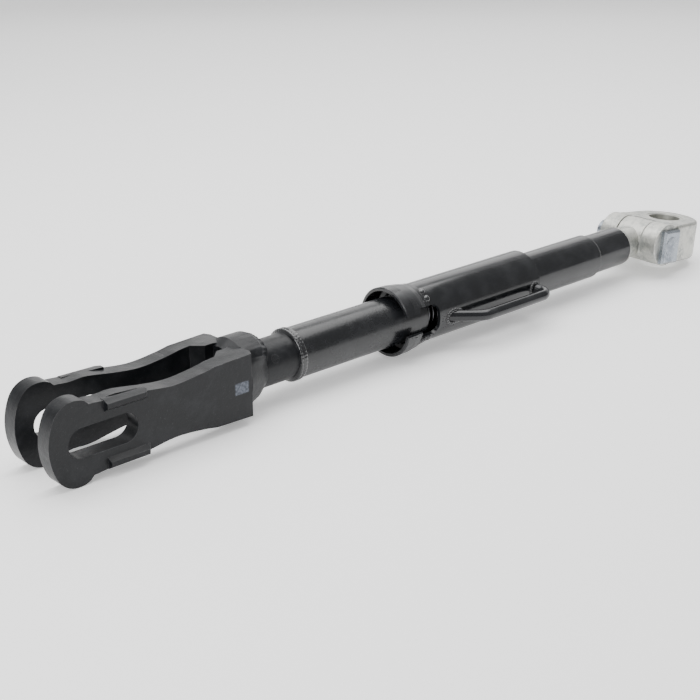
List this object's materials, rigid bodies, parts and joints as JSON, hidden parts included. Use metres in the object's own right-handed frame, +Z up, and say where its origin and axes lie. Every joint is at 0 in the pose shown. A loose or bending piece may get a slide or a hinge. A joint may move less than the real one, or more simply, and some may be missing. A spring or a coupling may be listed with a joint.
{
  "type": "tractor lift link",
  "caption": "Adjustable tractor lift link: forged fork with float slots, screwed spindle in a turning sleeve with a handle, and a zinc-plated swivelling yoke.",
  "frame": {"origin": "centre of the yoke's eye bore, at rest", "axes": "+X along the link from the fork to the yoke, +Y across it away from the handle, +Z up"},
  "size_m": [0.9121, 0.1087, 0.077],
  "materials": {
    "black_forging": "satin black paint over a forged skin",
    "black_tube": "gloss black paint on drawn tube",
    "black_weld": "gloss black paint over rippled weld",
    "zinc_casting": "bright zinc plating over a blasted casting",
    "zinc_steel": "blue zinc plating, machined",
    "bare_steel": "machined, greased",
    "bronze": "turned bearing bronze"
  },
  "bodies": {
    "fork": {"fork": "black_forging", "fork_cross_pin": "zinc_steel", "fork_tube_weld": "black_weld", "guard_tube": "black_tube", "guard_tube_bush": "bronze", "spindle": "bare_steel", "spindle_stop_washer": "zinc_steel", "spindle_stop_screw": "zinc_steel"},
    "turner": {"bell_collar": "black_tube", "sleeve_tube": "black_tube", "collar_weld_spots": "black_weld", "sleeve_end_ring": "black_tube", "sleeve_inner_ring": "black_tube", "body_tube": "black_tube", "spindle_nut": "bare_steel", "nut_lock_screw": "zinc_steel", "neck_bush": "bronze", "handle": "black_tube", "handle_weld_front": "black_weld", "handle_weld_rear": "black_weld"},
    "knuckle": {"knuckle": "zinc_casting", "tongue_bush": "bronze", "thrust_washer": "zinc_steel", "castle_nut": "zinc_steel", "nut_cotter": "zinc_steel"},
    "yoke": {"yoke": "zinc_casting", "eye_bush": "bare_steel", "hinge_pin": "zinc_steel", "pin_washer": "zinc_steel", "pin_split_cotter": "zinc_steel"}
  },
  "joints": [
    {"name": "sleeve_turn", "type": "hinge", "parent": "knuckle", "child": "turner", "pos_m": [-0.0462, 0, 0.00526], "axis": [1, 0, 0], "range_deg": [-360, 6480]},
    {"name": "fork_travel", "type": "slide", "parent": "knuckle", "child": "fork", "axis": [1, 0, 0], "range_m": [-0.006, 0.108]},
    {"name": "yoke_swing", "type": "hinge", "parent": "knuckle", "child": "yoke", "pos_m": [-0.0462, 0, 0.00526], "axis": [0, 1, 0], "range_deg": [-81.5, 68.5]}
  ],
  "couplings": [
    {"joint": "fork_travel", "follows": "sleeve_turn", "m_per_rad": 0.00095493}
  ]
}
